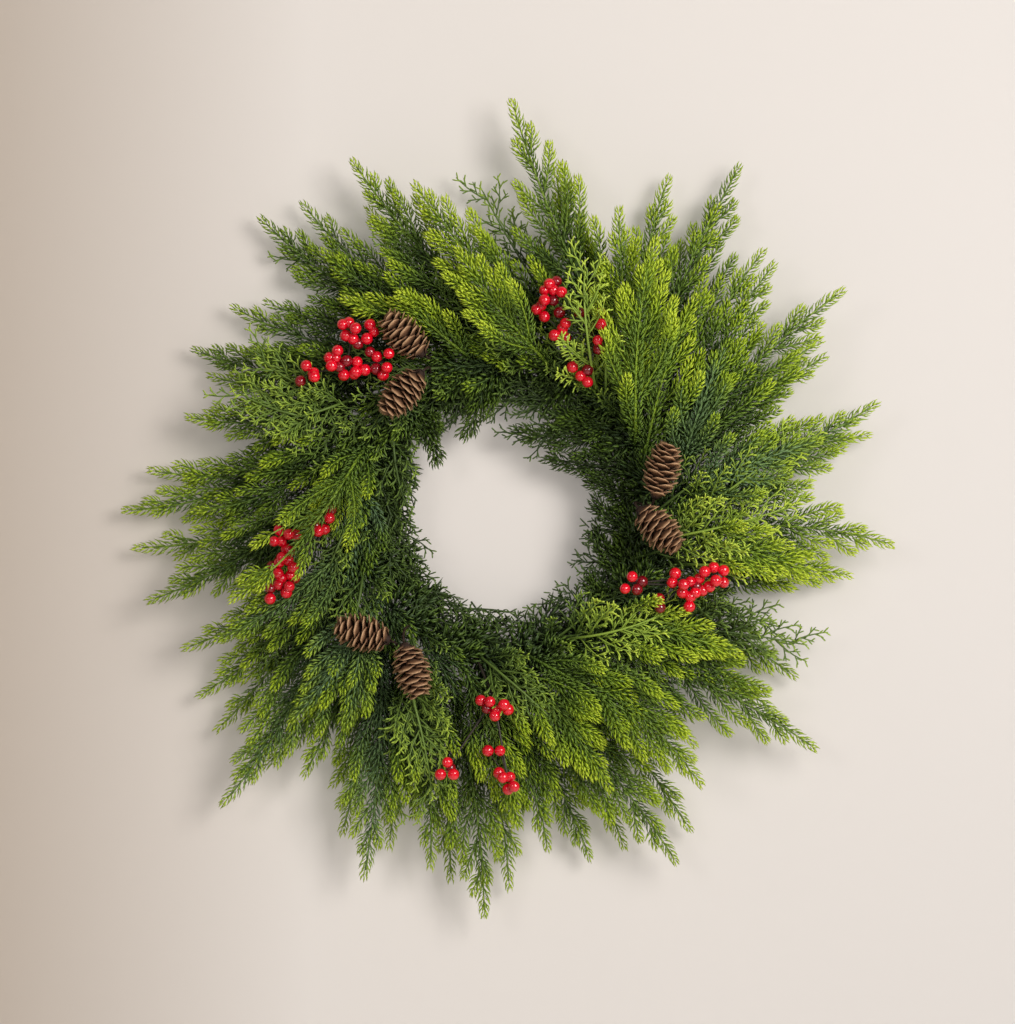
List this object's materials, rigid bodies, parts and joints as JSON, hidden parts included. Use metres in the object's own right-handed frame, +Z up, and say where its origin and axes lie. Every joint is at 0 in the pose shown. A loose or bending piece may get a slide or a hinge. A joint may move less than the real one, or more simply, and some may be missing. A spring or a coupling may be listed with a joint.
{
  "type": "wreath",
  "caption": "Evergreen door wreath: pine and cedar sprays swirl outward round a wire ring, with pinecones and red berry picks; hangs flat against a wall.",
  "frame": {"origin": "the point at the inside top of the hanging loop where a hook or nail carries the wreath, on the wall plane", "axes": "+Z up as it hangs, +Y into the wall it hangs on (front faces -Y), +X to the right seen from the front"},
  "size_m": [0.6234, 0.1216, 0.6596],
  "materials": {
    "frame_wire": "dark green painted wire",
    "cone_wood": "natural woody cone scales, matte",
    "berry_red": "glossy red berries on dark wire stems",
    "pine_green": "soft moulded needles, bright yellow-green at the tips",
    "cedar_green": "soft moulded scale leaves, olive green"
  },
  "bodies": {
    "root": {"wire_frame": "frame_wire", "cone_upper_left_a": "cone_wood", "cone_upper_left_b": "cone_wood", "cone_lower_left_a": "cone_wood", "cone_lower_left_b": "cone_wood", "cone_right_a": "cone_wood", "cone_right_b": "cone_wood", "berry_pick_upper_left": "berry_red", "berry_pick_top": "berry_red", "berry_pick_left": "berry_red", "berry_pick_right": "berry_red", "berry_pick_bottom": "berry_red", "pine_top": "pine_green", "pine_top_right_a": "pine_green", "pine_top_right_b": "pine_green", "pine_top_right_c": "pine_green", "pine_fan_a": "pine_green", "pine_upper_right_a": "pine_green", "pine_upper_right_b": "pine_green", "pine_right_a": "pine_green", "pine_right_c": "pine_green", "pine_right_d": "pine_green", "pine_lower_right_a": "pine_green", "pine_lower_right_b": "pine_green", "pine_lower_right_c": "pine_green", "pine_bottom_right_b": "pine_green", "pine_bottom_right_c": "pine_green", "pine_bottom_a": "pine_green", "pine_bottom_b": "pine_green", "pine_bottom_c": "pine_green", "pine_bottom_left_a": "pine_green", "pine_lower_left_b": "pine_green", "pine_left_a": "pine_green", "pine_left_b": "pine_green", "pine_left_c": "pine_green", "pine_left_d": "pine_green", "pine_upper_left_a": "pine_green", "pine_upper_left_b": "pine_green", "pine_upper_left_c": "pine_green", "pine_top_left_a": "pine_green", "pine_top_left_b": "pine_green", "pine_top_left_c": "pine_green", "cedar_hole_left": "cedar_green", "cedar_hole_bottom": "cedar_green", "cedar_hole_top": "cedar_green", "cedar_hole_right": "cedar_green", "cedar_upper_left": "cedar_green", "cedar_top_left": "cedar_green", "cedar_top_front": "cedar_green", "cedar_right": "cedar_green", "cedar_lower_right": "cedar_green", "cedar_right_low": "cedar_green", "cedar_bottom": "cedar_green"}
  },
  "joints": []
}
